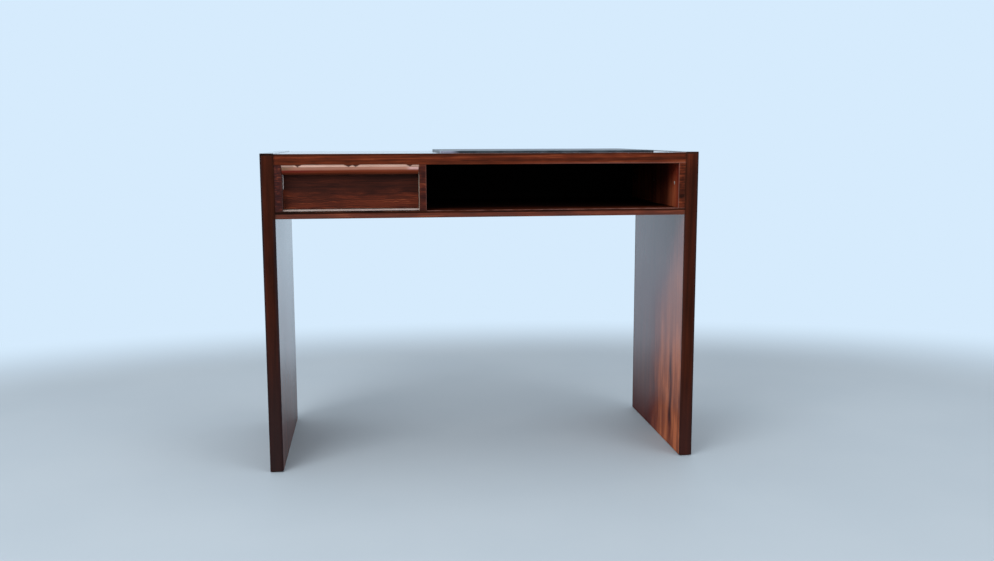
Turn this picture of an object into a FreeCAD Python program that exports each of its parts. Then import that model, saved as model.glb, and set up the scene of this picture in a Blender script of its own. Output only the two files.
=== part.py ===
"""A small rosewood writing desk on two slab ends, with one drawer and one open bay.

Millimetres. X runs to the right, Y to the rear and Z up. The origin is on the floor,
in the middle of the desk's plan. Every sub-part is written to parts/NODE.step.
"""

import FreeCAD
import Part

import math
import os

from FreeCAD import Vector

# Driving dimensions: the whole desk
overall_width = 1000.0
overall_depth = 450.0
slab_height = 730.0

# Slab ends, with solid lippings and nailed glides under them
slab_thickness = 30.0
slab_lipping = 5.0
glide_height = 2.0
glide_radius = 9.0
glide_rim = 0.8
glide_nail_radius = 1.2
glide_nail_length = 14.0
glide_inset = 45.0

# Top board, and how far its surface lies below the slab tops
top_thickness = 25.0
top_lipping = 8.0
top_drop = 1.5

# Carcass under the top: how far its edges lie behind the slab edges, and its boards
setback = 1.0
bay_height = 103.5
bottom_thickness = 16.0
bottom_lipping = 6.0
side_thickness = 16.0
divider_thickness = 16.0
side_lipping = 2.5
drawer_bay_width = 305.0
back_thickness = 6.0
back_inset = 16.0
back_tongue = 6.0

# Writing pad on the top, over the open bay
pad_width = 510.0
pad_depth = 350.0
pad_thickness = 5.0
pad_front_margin = 75.0
pad_corner_radius = 9.0
pad_edge_radius = 1.4

# Pale strips that the drawer runs on and between
kicker_setback = 1.0
kicker_thickness = 4.5
kicker_depth = 60.0
bearer_setback = 7.0
bearer_thickness = 4.0
bearer_depth = 40.0
runner_width = 22.0
guide_thickness = 4.0
guide_height = 20.0
stop_length = 12.0
stop_height = 18.0

# Drawer
drawer_recess = 23.0
drawer_front_thickness = 18.0
drawer_side_thickness = 10.0
drawer_back_thickness = 10.0
drawer_bottom_thickness = 5.0
drawer_bottom_lift = 8.0
drawer_bottom_tongue = 5.0
drawer_back_drop = 6.0
drawer_back_inset = 8.0
drawer_back_housing = 4.0
drawer_rear_gap = 32.0
tail_count = 3
tail_root_width = 13.0
tail_slope = 1.0 / 6.0
tail_lap = 5.0

# Pull lip along the drawer's upper edge, with a tongue glued into the front
lip_height = 16.0
lip_reach = 23.5
lip_arris_radius = 2.0
lip_underside_radius = 10.0
lip_cove_rise = 3.5
lip_tongue_width = 5.0
lip_tongue_depth = 5.0
lip_tongue_stop = 6.0
lip_top_gap = 0.4

# Joinery: dowels and countersunk screws
top_dowel_radius = 5.0
top_dowel_length = 40.0
bottom_dowel_radius = 4.0
bottom_dowel_length = 36.0
divider_dowel_radius = 4.0
divider_dowel_length = 28.0
slab_dowel_depth = 16.0
divider_dowel_depth = 11.0
dowel_chamfer = 1.0
dowel_row_inset = 75.0
dowel_row_count = 3
side_screw_radius = 2.2
side_screw_length = 36.0
side_screw_inset = 35.0
side_screw_rise = 57.0
kicker_screw_radius = 1.6
kicker_screw_length = 18.0
kicker_screw_inset = 32.0
bottom_screw_radius = 1.5
bottom_screw_length = 16.0
bottom_screw_inset = 40.0
screw_row_count = 3

# Proportions that every screw and nail shares, as multiples of its shank's radius
screw_head_ratio = 2.0
screw_point_ratio = 2.0
screw_tip_ratio = 0.15
screw_slot_width_ratio = 0.4
screw_slot_depth_ratio = 0.5

# Small round pieces and holes are laid out in flats, this many to the turn
flat_count = 12

# Clearances and eased edges
glue_clearance = 0.05
groove_clearance = 0.1
hole_end_clearance = 0.5
running_clearance = 0.3
drawer_side_play = 0.8
drawer_height_play = 1.5
front_side_gap = 1.0
front_height_gap = 1.0
eased_edge = 1.2
round_limit = 0.4
same_place = 1e-6

# Planes that follow from the driving dimensions
front_y = -overall_depth / 2
rear_y = overall_depth / 2
carcass_front_y = front_y + setback
carcass_rear_y = rear_y - setback
slab_left_x = -overall_width / 2
slab_right_x = overall_width / 2
carcass_left_x = slab_left_x + slab_thickness
carcass_right_x = slab_right_x - slab_thickness

top_z1 = slab_height - top_drop
top_z0 = top_z1 - top_thickness
bottom_z1 = top_z0 - bay_height
bottom_z0 = bottom_z1 - bottom_thickness

drawer_bay_x0 = carcass_left_x + side_thickness
drawer_bay_x1 = drawer_bay_x0 + drawer_bay_width
open_bay_x0 = drawer_bay_x1 + divider_thickness
open_bay_x1 = carcass_right_x - side_thickness

back_rear_y = carcass_rear_y - back_inset
back_front_y = back_rear_y - back_thickness

kicker_front_y = carcass_front_y + kicker_setback
kicker_rear_y = kicker_front_y + kicker_depth
kicker_z0 = top_z0 - kicker_thickness
bearer_front_y = carcass_front_y + bearer_setback
bearer_rear_y = bearer_front_y + bearer_depth
runner_z1 = bottom_z1 + bearer_thickness

face_y = carcass_front_y + drawer_recess
front_back_y = face_y + drawer_front_thickness
drawer_rear_y = back_front_y - drawer_rear_gap
front_x0 = drawer_bay_x0 + front_side_gap
front_x1 = drawer_bay_x1 - front_side_gap
front_z0 = runner_z1 + front_height_gap
lip_z1 = kicker_z0 - lip_top_gap
lip_z0 = lip_z1 - lip_height
box_x0 = drawer_bay_x0 + guide_thickness + drawer_side_play
box_x1 = drawer_bay_x1 - guide_thickness - drawer_side_play
box_z0 = runner_z1 + running_clearance
box_z1 = kicker_z0 - drawer_height_play
drawer_floor_z0 = box_z0 + drawer_bottom_lift
drawer_floor_z1 = drawer_floor_z0 + drawer_bottom_thickness
drawer_back_y1 = drawer_rear_y - drawer_back_inset
drawer_back_y0 = drawer_back_y1 - drawer_back_thickness
stop_y0 = drawer_rear_y + running_clearance
stop_y1 = stop_y0 + stop_length

UP = Vector(0, 0, 1)
DOWN = Vector(0, 0, -1)
LEFT = Vector(-1, 0, 0)
RIGHT = Vector(1, 0, 0)


# Shared shapes and operations

def board(x0, x1, y0, y1, z0, z1):
    """A flat-sided board between two corners."""
    return Part.makeBox(x1 - x0, y1 - y0, z1 - z0, Vector(x0, y0, z0))


def edges_along(shape, axis, **at):
    """The shape's straight edges along one axis whose other coordinates are as given."""
    found = []
    for edge in shape.Edges:
        start, end = edge.Vertexes[0].Point, edge.Vertexes[-1].Point
        run = end - start
        if abs(getattr(run, axis)) < run.Length - same_place:
            continue
        middle = (start + end) * 0.5
        if all(abs(getattr(middle, name) - value) < same_place for name, value in at.items()):
            found.append(edge)
    return found


def eased(shape, edges, thickness):
    """The shape with these edges rounded by hand, never past its own thickness."""
    return shape.makeFillet(min(eased_edge, round_limit * thickness), edges)


def flat_ring(radius, height):
    """A level ring about Z, laid out in flats."""
    angles = [2 * math.pi * index / flat_count for index in range(flat_count)]
    points = [Vector(radius * math.cos(angle), radius * math.sin(angle), height) for angle in angles]
    return Part.makePolygon(points + points[:1])


def turned(rings):
    """A turned solid about Z through rings, each a radius and a height, from the lowest up."""
    return Part.makeLoft([flat_ring(radius, height) for radius, height in rings], True, True)


def placed(shape, point, direction):
    """A copy of a shape made along +Z from the origin, set at a point along a direction."""
    moved = shape.copy()
    moved.Placement = FreeCAD.Placement(point, FreeCAD.Rotation(UP, direction))
    return moved


def spread(start, end, count):
    """Evenly spaced values from start to end."""
    step = (end - start) / (count - 1)
    return [start + step * index for index in range(count)]


def copies(made, places):
    """Separate copies of a shape, at (point, direction) places."""
    return [placed(made, point, direction) for point, direction in places]


def group(made, places):
    """Such copies as one compound of separate solids."""
    return Part.makeCompound(copies(made, places))


# Dowels and screws, each with the hole that takes it

def dowel(radius, length):
    """A dowel along +Z from the origin, with flats for the glue and chamfered ends."""
    chamfer = min(dowel_chamfer, round_limit * radius)
    return turned([
        (radius - chamfer, 0), (radius, chamfer),
        (radius, length - chamfer), (radius - chamfer, length),
    ])


def dowel_hole(radius, length):
    """The hole for a dowel, a little wider and deeper at both ends."""
    wide = radius + glue_clearance
    return turned([(wide, -hole_end_clearance), (wide, length + hole_end_clearance)])


def screw_rings(radius, length, grow):
    """The rings of a countersunk screw that runs up +Z from its head at the origin."""
    head = screw_head_ratio * radius
    tip = screw_tip_ratio * radius
    shank_end = length - screw_point_ratio * radius
    return [
        (head + grow, 0), (radius + grow, head - radius + grow),
        (radius + grow, shank_end + grow), (tip + grow, length + grow),
    ]


def screw(radius, length):
    """A slotted countersunk screw along +Z, its head's flat at the origin."""
    head = screw_head_ratio * radius
    half_width = screw_slot_width_ratio * radius / 2
    depth = screw_slot_depth_ratio * radius
    slot = board(-head, head, -half_width, half_width, -depth, depth)
    return turned(screw_rings(radius, length, 0)).cut(slot)


def screw_hole(radius, length):
    """The countersunk hole that a screw fills."""
    return turned(screw_rings(radius, length, glue_clearance))


# Where the dowels and screws go

dowel_rows_y = spread(carcass_front_y + dowel_row_inset, back_front_y - dowel_row_inset, dowel_row_count)


def slab_dowel_places(z):
    """Dowels through the joint of a level board with both slabs, in rows from front to rear."""
    left = [(Vector(carcass_left_x - slab_dowel_depth, y, z), RIGHT) for y in dowel_rows_y]
    right = [(Vector(carcass_right_x + slab_dowel_depth, y, z), LEFT) for y in dowel_rows_y]
    return left + right


def divider_dowel_places():
    """Upright dowels at the divider's upper and lower edges."""
    x = drawer_bay_x1 + divider_thickness / 2
    upper = [(Vector(x, y, top_z0 + divider_dowel_depth), DOWN) for y in dowel_rows_y]
    lower = [(Vector(x, y, bottom_z1 - divider_dowel_depth), UP) for y in dowel_rows_y]
    return upper + lower


def side_screw_places():
    """Screws that draw the carcass sides against the slabs, from inside the bays."""
    z = bottom_z1 + side_screw_rise
    rows = spread(carcass_front_y + side_screw_inset, back_front_y - side_screw_inset, screw_row_count)
    left = [(Vector(drawer_bay_x0, y, z), LEFT) for y in rows]
    right = [(Vector(open_bay_x1, y, z), RIGHT) for y in rows]
    return left + right


def kicker_screw_places():
    """Screws up through the kicker rail into the top."""
    y = (kicker_front_y + kicker_rear_y) / 2
    columns = spread(drawer_bay_x0 + kicker_screw_inset, drawer_bay_x1 - kicker_screw_inset, screw_row_count)
    return [(Vector(x, y, kicker_z0), UP) for x in columns]


def bottom_screw_places():
    """Screws up through the drawer bottom into the lower edge of the drawer back."""
    y = (drawer_back_y0 + drawer_back_y1) / 2
    columns = spread(box_x0 + bottom_screw_inset, box_x1 - bottom_screw_inset, screw_row_count)
    return [(Vector(x, y, drawer_floor_z0), UP) for x in columns]


def glide_places():
    """Glides near the front and rear of each slab's foot."""
    xs = (slab_left_x + slab_thickness / 2, slab_right_x - slab_thickness / 2)
    ys = (front_y + glide_inset, rear_y - glide_inset)
    return [(Vector(x, y, 0), UP) for x in xs for y in ys]


top_dowel_places = slab_dowel_places((top_z0 + top_z1) / 2)
bottom_dowel_places = slab_dowel_places((bottom_z0 + bottom_z1) / 2)
top_dowel_holes = copies(dowel_hole(top_dowel_radius, top_dowel_length), top_dowel_places)
bottom_dowel_holes = copies(dowel_hole(bottom_dowel_radius, bottom_dowel_length), bottom_dowel_places)
divider_dowel_holes = copies(dowel_hole(divider_dowel_radius, divider_dowel_length), divider_dowel_places())
side_screw_holes = copies(screw_hole(side_screw_radius, side_screw_length), side_screw_places())
kicker_screw_holes = copies(screw_hole(kicker_screw_radius, kicker_screw_length), kicker_screw_places())
bottom_screw_holes = copies(screw_hole(bottom_screw_radius, bottom_screw_length), bottom_screw_places())


# Slab ends

def glide():
    """A nylon disc with a chamfered rim, on a nail, standing on the floor."""
    rim = min(glide_rim, round_limit * glide_height)
    nail_top = glide_height + glide_nail_length
    nail_shoulder = nail_top - screw_point_ratio * glide_nail_radius
    disc = turned([(glide_radius - rim, 0), (glide_radius, rim), (glide_radius, glide_height)])
    nail = turned([
        (glide_nail_radius, rim), (glide_nail_radius, nail_shoulder),
        (screw_tip_ratio * glide_nail_radius, nail_top),
    ])
    return disc.fuse(nail)


def glide_nail_holes():
    """The holes that the glides' nails fill in the slabs' feet."""
    radius = glide_nail_radius + glue_clearance
    hole = turned([(radius, glide_height), (radius, glide_height + glide_nail_length + hole_end_clearance)])
    return copies(hole, glide_places())


def slab_core(x0):
    """One slab without its lippings, drilled for the dowels, screws and glides."""
    core = board(
        x0, x0 + slab_thickness, front_y + slab_lipping, rear_y - slab_lipping,
        glide_height, slab_height - slab_lipping,
    )
    return core.cut(top_dowel_holes + bottom_dowel_holes + side_screw_holes + glide_nail_holes())


def slab_edge_lipping(x0, y_outer, y_inner):
    """The upright lipping on a slab's front or rear edge, eased where hands meet it."""
    strip = board(
        x0, x0 + slab_thickness, min(y_outer, y_inner), max(y_outer, y_inner),
        glide_height, slab_height - slab_lipping,
    )
    return eased(strip, edges_along(strip, "z", y=y_outer), slab_lipping)


def slab_top_lipping(x0):
    """The lipping on a slab's upper end, run over the upright ones so that its ends show."""
    strip = board(x0, x0 + slab_thickness, front_y, rear_y, slab_height - slab_lipping, slab_height)
    edges = edges_along(strip, "y", z=slab_height) + edges_along(strip, "x", z=slab_height)
    edges += edges_along(strip, "z")
    return eased(strip, edges, slab_lipping)


def slab_end(x0):
    """A whole slab end: core and lippings, by the last words of their names."""
    return {
        "slab": slab_core(x0),
        "front_lipping": slab_edge_lipping(x0, front_y, front_y + slab_lipping),
        "rear_lipping": slab_edge_lipping(x0, rear_y, rear_y - slab_lipping),
        "top_lipping": slab_top_lipping(x0),
    }


# Top, bottom, sides, divider and back

def long_lipping(z0, z1, y_outer, y_inner):
    """A lipping from slab to slab on the front or rear edge of a level board."""
    strip = board(carcass_left_x, carcass_right_x, min(y_outer, y_inner), max(y_outer, y_inner), z0, z1)
    return eased(strip, edges_along(strip, "x", y=y_outer), abs(y_outer - y_inner))


def back_panel():
    """The back, let into grooves in the boards all round it."""
    return board(
        drawer_bay_x0 - back_tongue, open_bay_x1 + back_tongue, back_front_y, back_rear_y,
        bottom_z1 - back_tongue, top_z0 + back_tongue,
    )


def back_groove():
    """The grooves that take the back, as one cutting tool."""
    slack = groove_clearance
    return board(
        drawer_bay_x0 - back_tongue - slack, open_bay_x1 + back_tongue + slack,
        back_front_y - slack, back_rear_y + slack,
        bottom_z1 - back_tongue - slack, top_z0 + back_tongue + slack,
    )


def top_panel():
    """The top board between its lippings, grooved for the back and drilled for its fixings."""
    core = board(
        carcass_left_x, carcass_right_x, carcass_front_y + top_lipping, carcass_rear_y - top_lipping,
        top_z0, top_z1,
    )
    return core.cut([back_groove()] + top_dowel_holes + divider_dowel_holes + kicker_screw_holes)


def bottom_panel():
    """The bottom board between its lippings, grooved for the back and drilled for its dowels."""
    core = board(
        carcass_left_x, carcass_right_x, carcass_front_y + bottom_lipping, carcass_rear_y - bottom_lipping,
        bottom_z0, bottom_z1,
    )
    return core.cut([back_groove()] + bottom_dowel_holes + divider_dowel_holes)


def side_panel(x0):
    """A carcass side against its slab, grooved for the back and drilled for its screws."""
    core = board(x0, x0 + side_thickness, carcass_front_y + side_lipping, carcass_rear_y, bottom_z1, top_z0)
    return core.cut([back_groove()] + side_screw_holes)


def divider_panel():
    """The upright between the drawer and the open bay, stopped against the back."""
    core = board(
        drawer_bay_x1, open_bay_x0, carcass_front_y + side_lipping, back_front_y - groove_clearance,
        bottom_z1, top_z0,
    )
    return core.cut(divider_dowel_holes)


def upright_lipping(x0, x1):
    """The cross-grained strip on the front edge of a side or the divider."""
    strip = board(x0, x1, carcass_front_y, carcass_front_y + side_lipping, bottom_z1, top_z0)
    return eased(strip, edges_along(strip, "z", y=carcass_front_y), side_lipping)


def writing_pad():
    """A covered board with round corners, lying on the top over the open bay."""
    x0 = (open_bay_x0 + open_bay_x1 - pad_width) / 2
    y0 = front_y + pad_front_margin
    pad_z1 = top_z1 + pad_thickness
    pad = board(x0, x0 + pad_width, y0, y0 + pad_depth, top_z1, pad_z1)
    pad = pad.makeFillet(pad_corner_radius, edges_along(pad, "z"))
    rim = [edge for edge in pad.Edges if edge.BoundBox.ZMin > pad_z1 - same_place]
    return pad.makeFillet(min(pad_edge_radius, round_limit * pad_thickness), rim)


# Strips inside the drawer bay

def kicker_rail():
    """The thin rail under the top that keeps the open drawer from tipping."""
    rail = board(drawer_bay_x0, drawer_bay_x1, kicker_front_y, kicker_rear_y, kicker_z0, top_z0)
    return rail.cut(kicker_screw_holes)


def front_bearer():
    """The strip across the front of the bay, under the drawer front."""
    return board(drawer_bay_x0, drawer_bay_x1, bearer_front_y, bearer_rear_y, bottom_z1, runner_z1)


def runner(x0):
    """A strip on the bottom, behind the bearer, that one drawer side slides on."""
    return board(x0, x0 + runner_width, bearer_rear_y, stop_y1, bottom_z1, runner_z1)


def guide(x0):
    """A strip on a runner, against the bay's side, that keeps the drawer straight."""
    y0 = front_back_y + running_clearance
    return board(x0, x0 + guide_thickness, y0, stop_y1, runner_z1, runner_z1 + guide_height)


def drawer_stops():
    """A block at the rear of each runner, for the drawer's sides to meet."""
    lefts = (box_x0, box_x1 - drawer_side_thickness)
    return Part.makeCompound([
        board(x0, x0 + drawer_side_thickness, stop_y0, stop_y1, runner_z1, runner_z1 + stop_height)
        for x0 in lefts
    ])


# Drawer

def tails(x0, x1):
    """Dovetails on a drawer side's front end: wedges that widen towards the drawer's face."""
    pitch = (lip_z0 - front_z0) / tail_count
    length = drawer_front_thickness - tail_lap
    flare = tail_slope * length
    made = []
    for index in range(tail_count):
        middle = front_z0 + pitch * (index + 0.5)
        outline = [
            Vector(x0, front_back_y, middle - tail_root_width / 2),
            Vector(x0, front_back_y, middle + tail_root_width / 2),
            Vector(x0, front_back_y - length, middle + tail_root_width / 2 + flare),
            Vector(x0, front_back_y - length, middle - tail_root_width / 2 - flare),
        ]
        made.append(Part.Face(Part.makePolygon(outline + outline[:1])).extrude(Vector(x1 - x0, 0, 0)))
    return made


def drawer_bottom_board():
    """The drawer's bottom, let into the front and sides and running under the back."""
    return board(
        box_x0 + drawer_side_thickness - drawer_bottom_tongue,
        box_x1 - drawer_side_thickness + drawer_bottom_tongue,
        front_back_y - drawer_bottom_tongue, drawer_back_y1, drawer_floor_z0, drawer_floor_z1,
    )


def drawer_bottom_groove():
    """The groove for the drawer's bottom, open at the rear, as one cutting tool."""
    slack = groove_clearance
    return board(
        box_x0 + drawer_side_thickness - drawer_bottom_tongue - slack,
        box_x1 - drawer_side_thickness + drawer_bottom_tongue + slack,
        front_back_y - drawer_bottom_tongue - slack, drawer_rear_y + slack,
        drawer_floor_z0 - slack, drawer_floor_z1 + slack,
    )


def drawer_back_board():
    """The drawer's back, on top of its bottom and housed in both sides."""
    reach = drawer_back_housing
    return board(
        box_x0 + drawer_side_thickness - reach, box_x1 - drawer_side_thickness + reach,
        drawer_back_y0, drawer_back_y1, drawer_floor_z1, box_z1 - drawer_back_drop,
    )


def drawer_back_housing_cut():
    """The housings in the drawer's sides that take its back, open at the top."""
    slack = groove_clearance
    reach = drawer_back_housing + slack
    return board(
        box_x0 + drawer_side_thickness - reach, box_x1 - drawer_side_thickness + reach,
        drawer_back_y0 - slack, drawer_back_y1 + slack, drawer_floor_z1, box_z1,
    )


def drawer_side(x0):
    """A drawer side: board and dovetails, grooved for the bottom and housed for the back."""
    x1 = x0 + drawer_side_thickness
    body = board(x0, x1, front_back_y, drawer_rear_y, box_z0, box_z1)
    body = body.multiFuse(tails(x0, x1)).removeSplitter()
    return body.cut([drawer_bottom_groove(), drawer_back_housing_cut()])


def lip_tongue(slack):
    """The tongue under the pull lip, stopped short of the dovetails, or with slack its groove."""
    x0 = box_x0 + drawer_side_thickness + lip_tongue_stop - slack
    x1 = box_x1 - drawer_side_thickness - lip_tongue_stop + slack
    middle = (face_y + front_back_y) / 2
    half = lip_tongue_width / 2 + slack
    return board(x0, x1, middle - half, middle + half, lip_z0 - lip_tongue_depth - slack, lip_z0)


def drawer_front():
    """The drawer's face board, with sockets for the tails and grooves for lip and bottom."""
    core = board(front_x0, front_x1, face_y, front_back_y, front_z0, lip_z0)
    core = eased(core, edges_along(core, "x", y=face_y, z=front_z0), drawer_front_thickness)
    sockets = tails(box_x0, box_x0 + drawer_side_thickness)
    sockets += tails(box_x1 - drawer_side_thickness, box_x1)
    return core.cut(sockets + [lip_tongue(groove_clearance), drawer_bottom_groove()])


def lip_outline():
    """The pull lip's section: an eased upper arris, a large round under it and a finger cove."""
    nose_y = face_y - lip_reach
    arris = lip_arris_radius
    under = lip_underside_radius
    slant = math.sqrt(0.5)

    def at(y, z):
        return Vector(front_x0, y, z)

    arris_top = at(nose_y + arris, lip_z1)
    arris_middle = at(nose_y + arris * (1 - slant), lip_z1 - arris * (1 - slant))
    arris_end = at(nose_y, lip_z1 - arris)
    under_start = at(nose_y, lip_z0 + under)
    under_middle = at(nose_y + under * (1 - slant), lip_z0 + under * (1 - slant))
    under_end = at(nose_y + under, lip_z0)
    cove_top = at((nose_y + under + face_y) / 2, lip_z0 + lip_cove_rise)
    cove_end = at(face_y, lip_z0)
    back_foot = at(front_back_y, lip_z0)
    back_top = at(front_back_y, lip_z1)
    return Part.Wire([
        Part.LineSegment(back_top, arris_top).toShape(),
        Part.Arc(arris_top, arris_middle, arris_end).toShape(),
        Part.LineSegment(arris_end, under_start).toShape(),
        Part.Arc(under_start, under_middle, under_end).toShape(),
        Part.Arc(under_end, cove_top, cove_end).toShape(),
        Part.LineSegment(cove_end, back_foot).toShape(),
        Part.LineSegment(back_foot, back_top).toShape(),
    ])


def drawer_lip():
    """The full-width pull lip, with its tongue."""
    moulding = Part.Face(lip_outline()).extrude(Vector(front_x1 - front_x0, 0, 0))
    return moulding.fuse(lip_tongue(0)).removeSplitter()


# Every sub-part by its node's name

def all_parts():
    made = {}
    for hand, x0 in (("left", slab_left_x), ("right", slab_right_x - slab_thickness)):
        for name, shape in slab_end(x0).items():
            made[f"{hand}_{name}"] = shape
    made["floor_glides"] = group(glide(), glide_places())

    made["top_panel"] = top_panel()
    made["top_front_lipping"] = long_lipping(top_z0, top_z1, carcass_front_y, carcass_front_y + top_lipping)
    made["top_rear_lipping"] = long_lipping(top_z0, top_z1, carcass_rear_y, carcass_rear_y - top_lipping)
    made["writing_pad"] = writing_pad()
    made["bottom_panel"] = bottom_panel()
    made["bottom_front_lipping"] = long_lipping(
        bottom_z0, bottom_z1, carcass_front_y, carcass_front_y + bottom_lipping)
    made["bottom_rear_lipping"] = long_lipping(
        bottom_z0, bottom_z1, carcass_rear_y, carcass_rear_y - bottom_lipping)
    made["left_side_panel"] = side_panel(carcass_left_x)
    made["right_side_panel"] = side_panel(open_bay_x1)
    made["divider_panel"] = divider_panel()
    made["left_side_lipping"] = upright_lipping(carcass_left_x, drawer_bay_x0)
    made["divider_lipping"] = upright_lipping(drawer_bay_x1, open_bay_x0)
    made["right_side_lipping"] = upright_lipping(open_bay_x1, carcass_right_x)
    made["back_panel"] = back_panel()

    made["top_dowels"] = group(dowel(top_dowel_radius, top_dowel_length), top_dowel_places)
    made["bottom_dowels"] = group(dowel(bottom_dowel_radius, bottom_dowel_length), bottom_dowel_places)
    made["divider_dowels"] = group(dowel(divider_dowel_radius, divider_dowel_length), divider_dowel_places())
    made["side_screws"] = group(screw(side_screw_radius, side_screw_length), side_screw_places())

    made["kicker_rail"] = kicker_rail()
    made["kicker_screws"] = group(screw(kicker_screw_radius, kicker_screw_length), kicker_screw_places())
    made["front_bearer"] = front_bearer()
    made["left_runner"] = runner(drawer_bay_x0)
    made["right_runner"] = runner(drawer_bay_x1 - runner_width)
    made["left_guide"] = guide(drawer_bay_x0)
    made["right_guide"] = guide(drawer_bay_x1 - guide_thickness)
    made["drawer_stops"] = drawer_stops()

    made["drawer_front"] = drawer_front()
    made["drawer_lip"] = drawer_lip()
    made["drawer_left_side"] = drawer_side(box_x0)
    made["drawer_right_side"] = drawer_side(box_x1 - drawer_side_thickness)
    made["drawer_back"] = drawer_back_board().cut(bottom_screw_holes)
    made["drawer_bottom"] = drawer_bottom_board().cut(bottom_screw_holes)
    made["drawer_bottom_screws"] = group(
        screw(bottom_screw_radius, bottom_screw_length), bottom_screw_places())
    return made


def main():
    os.makedirs("parts", exist_ok=True)
    for name, shape in all_parts().items():
        if not shape.isValid() or not shape.Solids:
            raise ValueError(f"{name} is not a valid solid")
        shape.exportStep(f"parts/{name}.step")
        print(f"{name}: {len(shape.Solids)} solid(s), {shape.Volume / 1000:.1f} cm3")


main()
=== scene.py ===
# %% [markdown]
# # A slab-ended rosewood writing desk
# The desk stands on two upright slabs with a shallow box between them: a drawer with a moulded pull
# lip at the left, an open bay at the right and a thin leather pad on the top. The boards come from the
# packed CAD model and stay where they are, so this lesson is mostly about finishes: how rosewood,
# beech, plywood, steel and leather are made from nodes, and how a soft light shows them.
# Everything is in metres, in the frame of the CAD model.

# %% Load the frame
import math

import bmesh
import bpy
from mathutils import Matrix, Vector


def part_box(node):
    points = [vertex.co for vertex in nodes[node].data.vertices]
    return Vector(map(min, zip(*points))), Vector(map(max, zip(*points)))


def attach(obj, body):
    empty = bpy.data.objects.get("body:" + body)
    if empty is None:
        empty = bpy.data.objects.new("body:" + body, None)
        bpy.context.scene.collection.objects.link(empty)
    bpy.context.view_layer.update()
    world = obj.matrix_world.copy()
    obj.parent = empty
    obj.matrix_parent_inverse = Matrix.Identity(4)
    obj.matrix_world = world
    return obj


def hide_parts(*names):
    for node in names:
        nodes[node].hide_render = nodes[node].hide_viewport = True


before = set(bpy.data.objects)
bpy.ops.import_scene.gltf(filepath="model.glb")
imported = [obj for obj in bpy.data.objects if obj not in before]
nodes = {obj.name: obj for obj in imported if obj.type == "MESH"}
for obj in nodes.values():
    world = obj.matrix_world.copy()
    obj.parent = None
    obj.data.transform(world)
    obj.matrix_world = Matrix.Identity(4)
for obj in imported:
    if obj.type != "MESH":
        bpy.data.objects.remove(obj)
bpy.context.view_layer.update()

# %% [markdown]
# ## Sums on sockets
# A procedural finish is mostly arithmetic on positions and noises. In the editor each sum is a Math
# node, wired by hand. Here one small class wraps an output socket and gives it Python's operators, so
# that `1 - mask` adds the node by itself, and a finish reads like a formula.

# %% A socket that takes part in sums
class Wire:
    """The output of a node, for use in Python sums."""

    def __init__(self, bench, socket):
        self.bench = bench
        self.socket = socket

    def sibling(self, name):
        """Another output of the same node."""
        return Wire(self.bench, self.socket.node.outputs[name])

    def __add__(self, other):
        return self.bench.math("ADD", self, other)

    def __radd__(self, other):
        return self.bench.math("ADD", other, self)

    def __sub__(self, other):
        return self.bench.math("SUBTRACT", self, other)

    def __rsub__(self, other):
        return self.bench.math("SUBTRACT", other, self)

    def __mul__(self, other):
        return self.bench.math("MULTIPLY", self, other)

    def __rmul__(self, other):
        return self.bench.math("MULTIPLY", other, self)

    def __truediv__(self, other):
        return self.bench.math("DIVIDE", self, other)

    def __pow__(self, power):
        return self.bench.math("POWER", self, power)

    def __abs__(self):
        return self.bench.math("ABSOLUTE", self)

    def lesser(self, other):
        """The smaller of two values, which also caps one."""
        return self.bench.math("MINIMUM", self, other)

    def greater(self, other):
        """The larger of two values, which also joins two masks."""
        return self.bench.math("MAXIMUM", self, other)

    def rise(self, low, high):
        """0 below low, 1 above high and a soft step between them."""
        soft_step = {"interpolation_type": "SMOOTHSTEP"}
        sockets = {"Value": self, "From Min": low, "From Max": high}
        return self.bench.node("ShaderNodeMapRange", soft_step, sockets, "Result")


print("wires can stand on the right of a number in", [name for name in vars(Wire) if name[:3] == "__r"])

# %% [markdown]
# ## A bench for nodes
# Each kind of node could have a function of its own. One method is enough for all: it takes the node's
# type, its settings, which come first because they decide how the node reads its sockets, and the
# values or wires of its sockets. The methods after it are short names for what every finish needs.
# The last one ends a finish: a bump, a Principled surface and the output.

# %% The bench
def set_stops(ramp, stops):
    """Gives a colour ramp its stops, each a position and a colour."""
    while len(ramp.elements) < len(stops):
        ramp.elements.new(1.0)
    for element, (position, colour) in zip(ramp.elements, stops):
        element.position = position
        element.color = colour


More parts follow.
